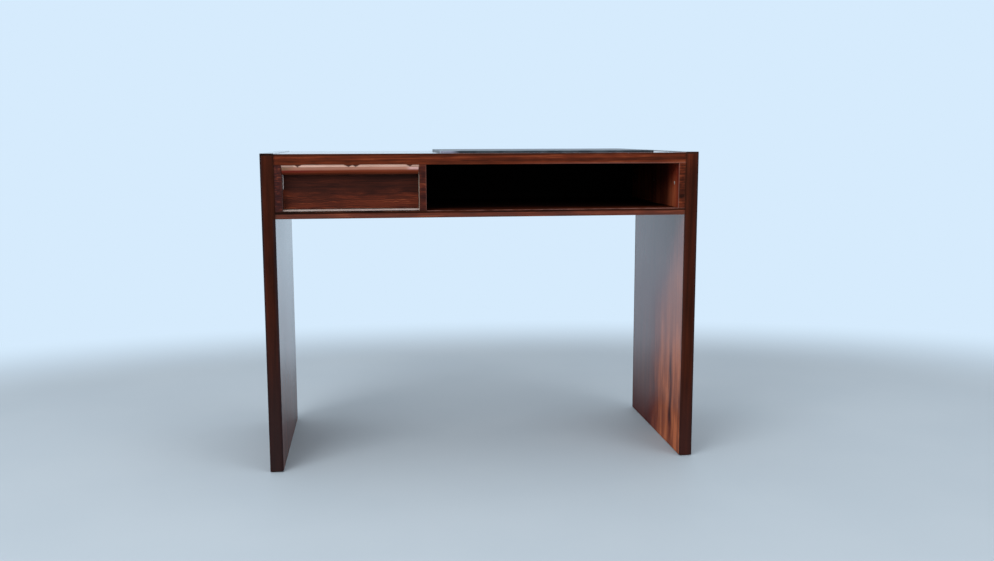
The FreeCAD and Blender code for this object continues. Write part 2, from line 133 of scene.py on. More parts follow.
class Bench:
    """A node tree on which a finish is put together."""

    def __init__(self, tree):
        self.tree = tree
        tree.nodes.clear()

    def node(self, kind, settings=None, sockets=None, output=None):
        """Adds a node and gives back the output that is named, or else its first one."""
        made = self.tree.nodes.new(kind)
        for name, value in (settings or {}).items():
            if name == "stops":
                set_stops(made.color_ramp, value)
            else:
                setattr(made, name, value)
        inputs = {socket.identifier: socket for socket in made.inputs}
        for name, value in (sockets or {}).items():
            if isinstance(value, Wire):
                self.tree.links.new(value.socket, inputs[name])
            else:
                inputs[name].default_value = value
        if not made.outputs:
            return None
        outputs = {socket.identifier: socket for socket in made.outputs}
        return Wire(self, outputs[output] if output else made.outputs[0])

    def math(self, operation, *values):
        """A Math node on one or two values."""
        sockets = dict(zip(("Value", "Value_001"), values))
        return self.node("ShaderNodeMath", {"operation": operation}, sockets)

    def mix(self, factor, below, above):
        """The colour below with the colour above laid over it, as far as factor says."""
        sockets = {"Factor_Float": factor, "A_Color": below, "B_Color": above}
        return self.node("ShaderNodeMix", {"data_type": "RGBA"}, sockets, "Result_Color")

    def ramp(self, value, stops):
        """A colour that goes from stop to stop as the value grows."""
        return self.node("ShaderNodeValToRGB", {"stops": stops}, {"Fac": value}, "Color")

    def place(self):
        """Where a point lies on the object, in metres."""
        return self.node("ShaderNodeTexCoord", output="Object")

    def axes(self):
        """The place as three wires, X, Y and Z."""
        parts = self.node("ShaderNodeSeparateXYZ", sockets={"Vector": self.place()})
        return {axis: parts.sibling(axis) for axis in "XYZ"}

    def facing(self, axis):
        """How far a surface faces along an axis, to either side."""
        normal = self.node("ShaderNodeTexCoord", output="Normal")
        return abs(self.node("ShaderNodeSeparateXYZ", {}, {"Vector": normal}, axis))

    def surface(self, colour, roughness, height, strength=0.3, depth=0.0003, constants=None):
        """Ends a finish, with a bump of the given depth in metres."""
        dents = {"Strength": strength, "Distance": depth, "Height": height}
        bump = self.node("ShaderNodeBump", {}, dents)
        sockets = {"Base Color": colour, "Roughness": roughness, "Normal": bump, **(constants or {})}
        made = self.node("ShaderNodeBsdfPrincipled", {}, sockets)
        self.node("ShaderNodeOutputMaterial", {}, {"Surface": made})


print("bench ready, with", [name for name in vars(Bench) if name[0] != "_"])

# %% [markdown]
# ## Colours
# Shaders count in linear light, but a person judges a colour as a screen shows it. Colours could be
# converted elsewhere and typed in as linear numbers, which nobody can read. So the script keeps the
# screen values and converts them itself. A material and its bench are made in one step, and a CAD node
# takes a finished material in all its slots.

# %% Colours and materials
def seen(red, green, blue):
    """A colour as the eye reads it on a screen, 0 to 255, in the linear values of a shader."""
    shares = [value / 255 for value in (red, green, blue)]
    linear = [share / 12.92 if share < 0.04 else ((share + 0.055) / 1.055) ** 2.4 for share in shares]
    return (*linear, 1.0)


def new_bench(name):
    """A new material, and the bench for its nodes."""
    material = bpy.data.materials.new(name)
    material.use_nodes = True
    return material, Bench(material.node_tree)


def lay(node, material):
    """Puts a material on a CAD node."""
    for slot in nodes[node].material_slots:
        slot.material = material


print("colours ready, for example screen grey 128 is", round(seen(128, 128, 128)[0], 3))

# %% [markdown]
# ## Grain
# Wood is a bundle of fibres, so every noise in it is drawn out along the grain. A Mapping node does
# that: a small scale along the grain and a large one across it. The order "ZYX" says that a board's
# grain runs along Z, that Y is across its face and X goes through it. A noise along a single line gives
# bands of uneven width, which growth rings need.

# %% Streaks and bands
def streaks(bench, order, scales, seed, detail=2.0):
    """Noise drawn out along the grain, with one scale each for along, across and through."""
    scale = dict(zip(order, scales))
    stretch = [scale[axis] for axis in "XYZ"]
    moved = {"Vector": bench.place(), "Location": (seed, seed, seed), "Scale": stretch}
    place = bench.node("ShaderNodeMapping", {}, moved)
    sockets = {"Vector": place, "Scale": 1.0, "Detail": detail, "Roughness": 0.5}
    return bench.node("ShaderNodeTexNoise", {}, sockets, "Fac")


def clouds(bench, scale, seed, detail=2.0):
    """Noise that is alike in all directions."""
    return streaks(bench, "XYZ", (scale, scale, scale), seed, detail)


def bands(bench, where, seed, detail):
    """Noise along one line, which gives bands of uneven width."""
    sockets = {"W": where + seed, "Scale": 1.0, "Detail": detail, "Roughness": 0.6}
    return bench.node("ShaderNodeTexNoise", {"noise_dimensions": "1D"}, sockets, "Fac")


print("noises ready: streaks, clouds and bands")

# %% [markdown]
# ## Ends and edges
# A surface that cuts the fibres drinks more oil and turns darker, and the surface's normal finds it.
# Handled furniture wears first along its edges. The bevel node could find them, but it is slow and it
# is lost in an export, so the distance to the edges is worked out from the board's own box: on a face
# one of the three distances is nought, and the next smallest is how far the nearest edge is.

# %% End grain and worn edges
def end_grain(bench, order):
    """1 where a surface cuts the fibres square across."""
    return bench.facing(order[0]).rise(0.75, 0.95)


def edge_nearness(bench, node, reach):
    """1 on the edges of a node's box, falling to 0 at the given distance from them."""
    low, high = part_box(node)
    axes = bench.axes()
    depths = []
    for axis, start, end in zip("XYZ", low, high):
        depths.append((end - start) / 2 - abs(axes[axis] - (start + end) / 2))
    first, second, third = depths
    next_smallest = first.lesser(second).greater(first.greater(second).lesser(third))
    return 1 - next_smallest.rise(0.0, reach)


def worn_edges(bench, node, seed, reach):
    """Edge nearness broken into patches, as rubbing leaves it."""
    patches = clouds(bench, 22, seed, detail=3.0).rise(0.42, 0.62)
    return edge_nearness(bench, node, reach) * patches


print("edges and ends can be found on", len(nodes), "nodes")

# %% [markdown]
# ## Rosewood colours
# Rosewood is chocolate brown with near-black streaks and red to orange bands between them. One ramp
# holds all these colours in order, so a board only has to say how light it is at each place.
# The lacquer could be a glossier surface. It is a coat instead, because a coat's weight can change over
# a board, where the film is worn or was never laid. Oiled wood has no coat and hardly mirrors.

# %% Rosewood colours and coats
ink = seen(19, 8, 5)
bark = seen(44, 18, 9)
heart = seen(69, 29, 16)
ember = seen(106, 45, 25)
honey = seen(172, 94, 58)
amber = seen(200, 114, 72)
rubbed = seen(122, 70, 48)
rosewood_stops = [(0.12, ink), (0.36, bark), (0.50, heart), (0.66, ember), (0.90, honey), (1.0, amber)]

oiled = {"Specular IOR Level": 0.05, "IOR": 1.45}
satin = {**oiled, "Coat Roughness": 0.14, "Coat IOR": 1.5}
polished = {**oiled, "Coat Roughness": 0.07, "Coat IOR": 1.5}
reds = [round(colour[0], 3) for position, colour in rosewood_stops]
print("rosewood ramp:", len(rosewood_stops), "colours, with reds of", reds)

# %% [markdown]
# ## Rosewood figure
# A stretched noise alone looks like smeared paint, so the growth rings are modelled: the distance from
# a wandering heart line beside the board, with a little taper along the trunk, drives bands of uneven
# width. Flat faces then show arched figure where they graze the rings and straight figure elsewhere, as
# sawn boards do. Broad zones, mottling and fibres lie over the rings.

# %% Growth rings
trunk_taper = 0.014
zone_share = 0.16


def heart_distance(bench, node, order, seed, heart_place, sway, ripple):
    """How far a point lies from the heart line of the trunk that the board was cut from."""
    axes = bench.axes()
    along, across, through = (axes[axis] for axis in order)
    low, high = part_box(node)
    centre = dict(zip("XYZ", (low + high) / 2))
    slow = streaks(bench, order, (1.7, 6.0, 6.0), seed) - 0.5
    quick = streaks(bench, order, (14.0, 40.0, 40.0), seed + 3) - 0.5
    wander = slow * sway + quick * ripple
    sideways = across - (centre[order[1]] + heart_place[0]) + wander
    depth = through - (centre[order[2]] - heart_place[1]) + wander * 0.6
    return (sideways * sideways + depth * depth) ** 0.5 + along * trunk_taper


def rosewood_figure(bench, order, seed, radius, ring_scale, fibres):
    """Rings, zones, mottling and fibres together, from dark to light around nought."""
    rings = bands(bench, radius * ring_scale, seed, 3.0)
    zones = bands(bench, radius * (ring_scale * zone_share), seed + 40, 1.0)
    mottling = streaks(bench, order, (8.0, 50.0, 50.0), seed + 11, detail=3.0)
    return rings * 0.5 + zones * 0.4 + mottling * 0.7 + fibres * 0.4 - 1.0


print("growth rings ready, tapering by", trunk_taper)

# %% [markdown]
# ## The rosewood finish
# Every rosewood board takes the same finish, and differs in tone, figure and history. A node group with
# many sockets could do that. Small functions are easier to read: shade lightens or darkens places,
# stain colours the wood under its lacquer, and over lays a colour on it, each only where a board needs
# it. Pores are short dark dashes, end grain is darker, and rubbed edges are paler.

# %% Rosewood finish
rosewood_edge = 0.004


def rosewood(node, order, seed, tone=0.0, contrast=1.0, ring_scale=210.0, heart_place=(0.04, 0.06),
             sway=0.03, ripple=0.005, coat=oiled, film=0.0, wear=0.4, shade=None, stain=None, over=None):
    """Makes and lays a rosewood finish on one node.

    tone lightens the whole board and contrast strengthens its figure, heart_place is how far the heart
    line lies across and below the board, sway and ripple say how it wanders, and film is how much
    lacquer lies on the board. Contrast and film may be functions that give a wire. shade gives a further
    wire for the lightness, and stain and over each give a mask and a colour."""
    material, bench = new_bench("rosewood_" + node)
    axes = bench.axes()
    fibres = streaks(bench, order, (5.0, 430.0, 430.0), seed + 5, detail=3.0)
    pores = streaks(bench, order, (150.0, 2400.0, 2400.0), seed + 7).rise(0.60, 0.70)
    radius = heart_distance(bench, node, order, seed, heart_place, sway, ripple)
    figure = rosewood_figure(bench, order, seed, radius, ring_scale, fibres)
    light = figure * (contrast(axes) if callable(contrast) else contrast) + (0.5 + tone)
    if shade:
        light = light + shade(bench, axes)
    colour = bench.ramp(light, rosewood_stops)
    if stain:
        mask, soaked = stain(bench, axes)
        colour = bench.mix(mask, colour, soaked)

    ends = end_grain(bench, order)
    worn = worn_edges(bench, node, seed, rosewood_edge)
    colour = bench.mix(pores * 0.45, colour, ink)
    colour = bench.mix(ends * 0.55, colour, ink)
    colour = bench.mix(worn * wear, colour, rubbed)
    smears = clouds(bench, 9.0, seed + 9, detail=4.0)
    roughness = 0.38 + fibres * 0.08 + smears * 0.12 + worn * 0.1 + ends * 0.1
    weight = film(bench, axes) if callable(film) else film
    if over:
        mask, laid = over(bench, axes)
        colour = bench.mix(mask, colour, laid)
        roughness = roughness + mask * 0.2
        weight = weight * (1 - mask) if film else 0.0
    height = fibres * 0.25 - pores * 0.75
    bench.surface(colour, roughness, height, constants={"Coat Weight": weight, **coat})
    lay(node, material)


print("rosewood finish ready, edges worn over", rosewood_edge, "m")

# %% [markdown]
# ## The slab ends
# Each slab is veneered with upright grain, lively on the outer face and quieter on the inner one. On
# the right slab's inner face the front leaf of veneer is a lighter orange wood. Its joint leans
# forward higher up, flames run through it, and one broken dark streak stands near the floor. The left
# slab has hardly any of it. A picture of the veneer could be laid on, but masks along Y and Z put each
# zone in its place and stay sharp at any size.

# %% Slab leaves
slab_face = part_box("top_panel")[1].x
inner_skin = (0.004, 0.008)
leaf_joint, leaf_lean, leaf_blend = 0.005, 0.20, 0.1
lean_heights, warm_heights = (0.28, 0.57), (0.10, 0.46)
leaf_front_edge = (-0.16, -0.08)
streak_place, streak_sides = -0.138, (0.004, 0.022)
streak_foot, streak_head = (0.04, 0.08), (0.17, 0.28)


def inner_face(axes):
    """1 on the faces towards the knees, 0 on the outer faces."""
    return 1 - (abs(axes["X"]) - slab_face).rise(*inner_skin)


def slab_contrast(quiet):
    """Lively figure on a slab's outer face and a quieter one on its inner face."""

    def contrast(axes):
        return 0.95 - inner_face(axes) * quiet

    return contrast


def before_joint(where):
    """1 in front of the leaf joint, 0 behind it."""
    return 1 - where.rise(leaf_joint - leaf_blend, leaf_joint + leaf_blend)


def dark_streak(bench, axes):
    """One broken dark streak in the front leaf, near the floor."""
    bend = clouds(bench, 9.0, 62.0) * 0.03 - 0.015
    broken = streaks(bench, "ZYX", (14.0, 120.0, 120.0), 64.0, detail=3.0).rise(0.28, 0.5)
    span = axes["Z"].rise(*streak_foot) * (1 - axes["Z"].rise(*streak_head))
    return (1 - abs(axes["Y"] + bend - streak_place).rise(*streak_sides)) * span * broken


def slab_leaves(share):
    """Lighter wood in front of the leaf joint, warmer towards the floor, with flames and the streak."""

    def shade(bench, axes):
        wave = streaks(bench, "ZYX", (5.0, 14.0, 14.0), 61.0, detail=4.0) * 0.16 - 0.08
        lean = axes["Z"].rise(*lean_heights) * leaf_lean
        front = before_joint(axes["Y"] + lean + wave)
        low = 1 - axes["Z"].rise(*warm_heights)
        flames = streaks(bench, "ZYX", (6.0, 30.0, 30.0), 66.0, detail=3.0).rise(0.30, 0.75)
        edge = 1 - axes["Y"].rise(*leaf_front_edge)
        warm = 0.23 - flames * 0.40 - edge * 0.10
        leaves = front * (0.36 + low * warm) - dark_streak(bench, axes) * 0.28 + low * 0.02
        return leaves * inner_face(axes) * share + 0.03

    return shade


print("slab leaves: joint at Y", leaf_joint, "and streak at Y", streak_place)

# %% [markdown]
# ## Lacquer on the slabs
# The inner faces have a purple cast, as rosewood heartwood does, most of all at the rear. A satin
# lacquer covers the slabs: seen almost edge-on it mirrors what is around the desk, which is plain
# Fresnel and needs no extra node. Feet and mops have worn the film towards the floor. A rougher surface
# would only blur the mirror, so the weight of the coat falls towards the floor instead.

# %% Slab lacquer
plum = seen(98, 40, 60)
cast_depths, cast_heights = (-0.2, 0.0), (0.1, 0.4)
full_wear_height, foot_height = -0.02, 0.13


def plum_heartwood(share):
    """The purple cast of an inner face, strongest at the rear and above the knees."""

    def stain(bench, axes):
        rear = 0.5 + axes["Y"].rise(*cast_depths) * 0.5
        above = 0.15 + axes["Z"].rise(*cast_heights) * 0.40
        return inner_face(axes) * rear * above * share, plum

    return stain


def worn_film(whole, start, wear, foot_wear, rear_share):
    """Lacquer that is whole above a start height, and worn below it and at the foot.

    rear_share is how much of that wear there is behind the leaf joint."""

    def film(bench, axes):
        patches = clouds(bench, 5.0, 63.0, detail=3.0) * 0.06 - 0.03
        low = ((start - axes["Z"] + patches) / (start - full_wear_height)).greater(0.0).lesser(1.0)
        foot = 1 - axes["Z"].rise(0.0, foot_height)
        front = before_joint(axes["Y"])
        along = rear_share + front * (1 - rear_share)
        return whole - front * 0.05 - (low * wear + foot * foot_wear) * along

    return film


for node, seed, share, quiet, cast, film in (
    ("left_slab", 2.3, 0.05, 0.35, 0.4, worn_film(0.93, 0.50, 0.62, 0.0, 1.0)),
    ("right_slab", 7.1, 1.0, 0.67, 1.0, worn_film(0.88, 0.45, 0.85, 0.68, 0.56)),
):
    rosewood(node, "ZYX", seed, contrast=slab_contrast(quiet), ring_scale=120.0,
             heart_place=(0.03, 0.09), coat=satin, film=film, shade=slab_leaves(share),
             stain=plum_heartwood(cast))
print("slab veneer laid, inner faces within X", round(slab_face, 3))

# %% [markdown]
# ## Strips on the slabs
# A veneered board shows its core at the edges, so strips of solid rosewood are glued on. They are darker
# than the faces and oiled, not lacquered, so they mirror less. Their arrises are painted darker as
# shade, their feet have greyed, and a faint dark line of painted shadow marks the joint with the box
# between the slabs. Shade and grey are painted on masks. The strips on top of the slabs run from front
# to rear, show dark end grain at the front and are polished above.

# %% Edge strips of the slabs
carcass_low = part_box("bottom_panel")[0].z
outer_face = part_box("right_slab")[1].x
cool_black = seen(36, 28, 32)
# Painted shade: a shadow line along the joint between slabs and carcass, and shade along the strips'
# arrises.
joint_sides = (0.0012, 0.0044)
outer_arris_shade, inner_arris_shade, grey_start = (0.001, 0.006), (0.001, 0.008), 0.02
light_end_heights = (0.66, 0.72)
dark_place_height, dark_place_reach = 0.52, (0.03, 0.12)
middle_blend = 0.1


def beside_carcass(axes, softness):
    """1 as high as the carcass, 0 below it."""
    return axes["Z"].rise(carcass_low - softness, carcass_low + softness)


def joint_shadow_line(bench, axes):
    """A faint dark line on both sides of the joint between slabs and carcass, painted as the joint's
    shadow.
    """
    beside = 1 - abs(abs(axes["X"]) - slab_face).rise(*joint_sides)
    return beside * beside_carcass(axes, 0.001) * -0.07


def uneven_ends(bench, axes):
    """The painted joint shadow, the lighter upper end of the right strips and a dark place on the left
    ones.
    """
    right = axes["X"].rise(-middle_blend, middle_blend)
    light_end = right * axes["Z"].rise(*light_end_heights)
    dark_place = (1 - right) * (1 - abs(axes["Z"] - dark_place_height).rise(*dark_place_reach))
    return joint_shadow_line(bench, axes) + light_end * 0.09 - dark_place * 0.05


def shaded_arrises_and_feet(foot, grey_height, foot_share, inside_share):
    """Painted shade along the arrises of the upright strips, and the colour of their feet near the
    floor.
    """

    def stain(bench, axes):
        side = abs(axes["X"])
        outer = 1 - (outer_face - side).rise(*outer_arris_shade)
        inner = 1 - (side - slab_face).rise(*inner_arris_shade)
        below = 1 - beside_carcass(axes, 0.002)
        low = 1 - axes["Z"].rise(grey_start, grey_height)
        arris_shade = outer.greater(inner * below * inside_share)
        return (arris_shade * 0.75).greater(low * foot_share), bench.mix(arris_shade, foot, cool_black)

    return stain


for side, seed, tone, arrises_and_feet in (
    ("left", 11.2, -0.08, shaded_arrises_and_feet(seen(46, 37, 38), 0.45, 0.7, 1.0)),
    ("right", 13.9, -0.04, shaded_arrises_and_feet(seen(66, 40, 38), 0.24, 0.5, 0.3)),
):
    for place in ("front", "rear"):
        strip = side + "_" + place + "_lipping"
        rosewood(strip, "ZXY", seed, tone=tone, contrast=0.35, heart_place=(0.02, 0.05), wear=0.08,
                 shade=uneven_ends, stain=arrises_and_feet)
        seed += 1.7
    rosewood(side + "_top_lipping", "YXZ", seed, tone=-0.16, contrast=0.6, heart_place=(0.01, 0.05),
             coat=polished, film=1.0, wear=0.2)
print("slab strips laid, joint line above Z", round(carcass_low, 4))

# %% [markdown]
# ## Faces round the drawer
# Inside the drawer's bay nobody sees the wood, so a maker veneers those faces with something pale and
# cheap. They show as thin light lines beside the drawer, darker at the left and yellowed at the right
# where they stand in front of its face. The veneer could be a board of its own, but it is thinner than a
# saw can cut, so it is painted on a mask that is only a skin deep.

# %% Pale faces
pale_veneer = seen(242, 230, 226)
yellowed_veneer = seen(226, 204, 182)
darker_front_veneer = seen(112, 78, 74)
left_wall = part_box("left_side_panel")[1].x
divider_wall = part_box("divider_panel")[0].x
bay_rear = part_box("back_panel")[0].y
drawer_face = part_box("drawer_front")[0].y
aged_depth = 0.02
skin = 0.0004


def inside(axes):
    """1 in the bays, 0 behind the back panel."""
    return 1 - axes["Y"].rise(bay_rear, bay_rear + skin)


def left_of_divider(axes):
    """1 on the left face of the divider and all that lies left of it."""
    return 1 - axes["X"].rise(divider_wall + skin / 2, divider_wall + skin)


def aged_veneer(bench, axes, aged):
    """Pale veneer, with another colour where it stands in front of the drawer's face."""
    return bench.mix(axes["Y"].rise(drawer_face, drawer_face + aged_depth), aged, pale_veneer)


def pale_right_face(bench, axes):
    """The left upright's right face, darker at the front."""
    face = axes["X"].rise(left_wall - skin, left_wall - skin / 2)
    return face * inside(axes), aged_veneer(bench, axes, darker_front_veneer)


def pale_left_face(bench, axes):
    """The divider's left face, a little yellowed at the front."""
    return left_of_divider(axes) * inside(axes), aged_veneer(bench, axes, yellowed_veneer)


print("pale veneer from X", round(left_wall, 3), "to", round(divider_wall, 3))

# %% [markdown]
# ## Faces of the open bay
# Inside the open bay the faces are painted nearly black as shade, and only their front keeps the wood's
# colour. Less light in the bay would be one way, but here the shade is painted on, with a mask that
# grows with the depth and looks the same from every side. The right wall is a redder wood, with painted
# shade towards the top.

# %% Dark faces
# Near-black painted shade, for the inside of the open bay, its screws and the joint under the bearer.
painted_shade_black = seen(14, 9, 8)
bay_red = seen(150, 50, 38)
bay_floor, bay_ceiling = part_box("bottom_panel")[1].z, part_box("top_panel")[0].z
bearer_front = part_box("front_bearer")[0].y
bay_shade_depths = (-0.205, -0.11)


def deep_in_bay(axes):
    """0 at the front of the open bay, 1 deep inside it, where shade is painted."""
    return axes["Y"].rise(*bay_shade_depths) * inside(axes)


def floor_veneer_and_bay_shade(bench, axes):
    """Pale where the drawer runs, painted shade in the open bay."""
    raised = axes["Z"].rise(bay_floor - skin, bay_floor - skin / 2)
    beside = left_of_divider(axes)
    laid = bench.mix(beside, painted_shade_black, pale_veneer)
    behind = axes["Y"].rise(bearer_front - skin, bearer_front) * inside(axes)
    return raised * (beside * behind).greater((1 - beside) * deep_in_bay(axes) * 0.9), laid


def ceiling_shade(bench, axes):
    """Painted shade on the underside of the top."""
    underside = 1 - axes["Z"].rise(bay_ceiling + skin / 2, bay_ceiling + skin)
    return underside * deep_in_bay(axes) * 0.9, painted_shade_black


def back_face_shade(bench, axes):
    """Painted shade on the front of the back panel."""
    return 1 - axes["Y"].rise(bay_rear + skin / 2, bay_rear + skin), painted_shade_black


def bay_side_shade(bench, axes):
    """Painted shade on the right wall, away from the front."""
    return deep_in_bay(axes) * 0.75, painted_shade_black


def red_bay_side(bench, axes):
    """The red wood of the right wall."""
    return 0.4, bay_red


def shade_above(bench, axes):
    """Painted shade on the right wall, darker towards the top."""
    return axes["Z"].rise(bay_floor + 0.03, bay_ceiling) * -0.3


print("open bay dark behind Y", bay_shade_depths[1])

# %% [markdown]
# ## The carcass boards
# The top, the bottom and the back run from side to side, so their grain does too, and the uprights
# between them stand with upright grain. The order of the axes says so for each board, and one call per
# board is enough, with the masks from above. Only the top is polished.

# %% Carcass veneer
rosewood("top_panel", "XYZ", 17.0, tone=0.07, heart_place=(0.05, 0.08), ring_scale=150.0,
         coat=polished, film=1.0, over=ceiling_shade)
rosewood("bottom_panel", "XYZ", 19.4, over=floor_veneer_and_bay_shade)
rosewood("back_panel", "XZY", 23.8, tone=0.02, over=back_face_shade)
rosewood("left_side_panel", "ZYX", 29.1, over=pale_right_face)
rosewood("divider_panel", "ZYX", 31.6, over=pale_left_face)
rosewood("right_side_panel", "ZYX", 37.7, tone=0.34, ring_scale=80.0, shade=shade_above,
         stain=red_bay_side, over=bay_side_shade)
print("carcass veneer laid, bays from Z", round(bay_floor, 4), "to", round(bay_ceiling, 4))

# %% [markdown]
# ## Marks over the drawer
# Over the drawer the lower arris of the top strip has worn through to pale wood, and four dark marks are
# left in it, wide above and narrow below. They could be small pieces of their own. They are flat, so
# they are masks, and the strip and the rail under it share them. Over the open bay the same arris has a
# painted highlight, a pinkish line.

# %% Worn arris with its marks
# The second colour is a painted highlight for arrises at the open bay.
cream, arris_highlight_red = seen(216, 177, 159), seen(140, 98, 90)
marks = ((-0.418, 0.0070), (-0.306, 0.0088), (-0.290, 0.0082), (-0.1695, 0.0068))
mark_depth, mark_softness = 0.0042, (-0.0030, 0.0026)
last_mark, last_mark_blend = marks[-1][0], 0.006
worn_start, worn_height = (0.026, 0.034), (0.0004, 0.0013)
# Where the painted highlight lies along the top strip's arris over the bay.
bay_highlight_span, bay_highlight_height = (0.0, 0.3), (0.0020, 0.0040)
bay_left, bay_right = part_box("divider_panel")[1].x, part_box("right_side_panel")[0].x


def hanging_marks(bench, axes):
    """Dark marks that hang from the top strip over the drawer, each narrowing downwards."""
    below = (bay_ceiling - axes["Z"]) / mark_depth
    ragged = clouds(bench, 300.0, 81.0) * 0.004 - 0.002
    total = 0.0
    for place, half_width in marks:
        room = half_width * (1 - below) - abs(axes["X"] - place) + ragged
        total = room.rise(*mark_softness).greater(total)
    return total


def worn_and_highlit_arris(bench, axes):
    """The pale lower arris of the top strip over the drawer, and a painted highlight on it over the bay.
    """
    height = axes["Z"] - bay_ceiling
    lower = 1 - height.rise(*worn_height)
    wider = 1 - height.rise(*bay_highlight_height)
    start = (axes["X"] - left_wall).rise(*worn_start)
    end = 1 - axes["X"].rise(last_mark - last_mark_blend, last_mark)
    over_drawer = start * end * (1 - hanging_marks(bench, axes))
    over_bay = axes["X"].rise(*bay_highlight_span) * 0.3
    laid = bench.mix(axes["X"].rise(divider_wall, bay_left), cream, arris_highlight_red)
    return (lower * over_drawer).greater(wider * over_bay), laid


print("marks at X", [place for place, half_width in marks])

# %% [markdown]
# ## Highlit arrises
# The arrises of the open bay's floor, its right wall and the divider carry painted highlights, pale
# lines where light catches them. The worn edges of the rosewood finish come in patches all round a
# board, so these few arrises get masks of their own, a millimetre wide.

# %% Arrises of the open bay
arris_start, arris_end = 0.0014, 0.0006
# Painted highlights on the arrises of the open bay.
highlight_blend, highlight_most = 0.004, 0.1


def floor_arris_highlight(bench, axes):
    """A painted highlight on the upper arris of the bay's floor, right of the divider."""
    upper = axes["Z"].rise(bay_floor - arris_start, bay_floor - arris_end)
    beside = axes["X"].rise(bay_left, bay_left + highlight_blend)
    patches = clouds(bench, 30.0, 67.0, detail=3.0).rise(0.25, 0.6)
    nearer = axes["X"].rise(highlight_most, bay_right) * 0.25 + 0.65
    return upper * beside * patches * nearer, arris_highlight_red


def wall_arris_highlight(bench, axes):
    """A painted highlight on the left arris of the strip on the bay's right wall."""
    return (1 - axes["X"].rise(bay_right + arris_end, bay_right + arris_start)) * 0.6, arris_highlight_red


def divider_arris_highlight(bench, axes):
    """A painted highlight on the right arris of the strip on the divider."""
    return axes["X"].rise(bay_left - arris_start, bay_left - arris_end) * 0.5, arris_highlight_red


print("rubbed arrises from X", round(bay_left, 4), "to", round(bay_right, 4))

# %% [markdown]
# ## Level strips
# The strips along the top and the bottom have lively reddish streaks and a dark line along their upper
# edge. The top strip shows layers under it, light and dark by turns.
# Rings alone give no such steady layers, so they are drawn by height.

# %% Dark lines and layers
line_blend = 0.0008
layers = ((0.64, 0.20, 0.035), (0.40, 0.18, -0.03), (0.16, 0.18, 0.035))


def dark_upper_line(node, share, drop):
    """Darkens the upper share of a level strip, paints the joint shadow at both its ends, and warms it
    towards the right.
    """
    low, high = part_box(node)
    start = high.z - (high.z - low.z) * share

    def shade(bench, axes):
        ragged = streaks(bench, "XZY", (6.0, 60.0, 60.0), 65.0) * 0.003 - 0.0015
        line = (axes["Z"] + ragged).rise(start - line_blend, start + line_blend) * -drop
        broken = streaks(bench, "XZY", (24.0, 260.0, 260.0), 68.0) - 0.5
        return line + broken * 0.25 + axes["X"] * 0.06 + joint_shadow_line(bench, axes)

    return shade


def layered(node, share, drop):
    """The same, with light and dark layers below the line, at shares of the strip's height."""
    low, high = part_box(node)
    line = dark_upper_line(node, share, drop)

    def shade(bench, axes):
        wave = streaks(bench, "XZY", (9.0, 40.0, 40.0), 70.0) * 0.3 - 0.15
        height = (axes["Z"] - low.z) / (high.z - low.z) + wave
        light = line(bench, axes)
        for level, reach, gain in layers:
            light = light + (1 - abs(height - level).rise(0.04, reach)) * gain
        return light

    return shade


print("dark lines and", len(layers), "layers ready")

# %% [markdown]
# ## Laying the level strips
# The bottom strips have greyed below their dark line. The upper arris of the top is still lacquered and
# catches the light. A strip of lacquer could be a mesh of its own, but a film on a height mask follows
# the arris by itself. Front and rear strips are sawn alike, and only the front ones are worn and carry
# painted highlights.

# %% Strips of the top and the bottom
grey_brown = seen(104, 74, 68)
grey_depths, lacquered_depths = (0.0046, 0.0066), (0.0006, 0.0018)
top_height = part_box("top_panel")[1].z


def greyed(bench, axes):
    """The bottom strips are a little greyer than the top ones, below their dark line."""
    return (bay_floor - axes["Z"]).rise(*grey_depths) * 0.25, grey_brown


def lacquered_arris(bench, axes):
    """Lacquer on the upper arris of the top strips alone."""
    return 1 - (top_height - axes["Z"]).rise(*lacquered_depths)


for place, seed, top_wear_and_light, bottom_arris_light in (
    ("front", 41.3, worn_and_highlit_arris, floor_arris_highlight),
    ("rear", 43.9, None, None),
):
    top, bottom = "top_" + place + "_lipping", "bottom_" + place + "_lipping"
    sawn = {"ring_scale": 330.0, "ripple": 0.010, "heart_place": (0.03, 0.03), "wear": 0.2}
    rosewood(top, "XZY", seed, tone=0.10, contrast=0.45, coat=polished, film=lacquered_arris,
             shade=layered(top, 0.16, 0.13), over=top_wear_and_light, **sawn)
    rosewood(bottom, "XZY", seed + 1, tone=0.07, contrast=0.8, shade=dark_upper_line(bottom, 0.34, 0.24),
             stain=greyed, over=bottom_arris_light, **sawn)
print("level strips laid, lacquered below Z", round(top_height, 4))

# %% [markdown]
# ## Cross-cut strips
# The strips on the uprights are cut across the grain, so they show short level dashes, and they are
# purpler than the rest, the left one most. The right one has a knot, dark in its middle. The finish's
# own fibres run too long for that, so short dashes are added to its lightness.

# %% Strips of the uprights
knot_height, knot_reach = 0.647, (0.004, 0.034)
purple_brown = seen(70, 40, 42)


def cross_cut(gain, knot):
    """Short level dashes on an upright's strip, a dark place round the knot and the painted joint
    shadow.
    """

    def shade(bench, axes):
        dashes = streaks(bench, "XZY", (70.0, 420.0, 100.0), 69.0) - 0.5
        blotches = clouds(bench, 90.0, 76.0) - 0.5
        from_knot = abs(axes["Z"] - knot_height).rise(*knot_reach) - 0.5
        return (dashes * 0.5 + blotches * 0.3) * gain + from_knot * knot + joint_shadow_line(bench, axes)

    return shade


def purple_cast(bench, axes):
    """Purple on the cross-cut strips, most on the left one and least on the right one."""
    left = 1 - axes["X"].rise(left_wall, divider_wall)
    return 0.3 + left * 0.15 - axes["X"].rise(bay_left, bay_right) * 0.26, purple_brown


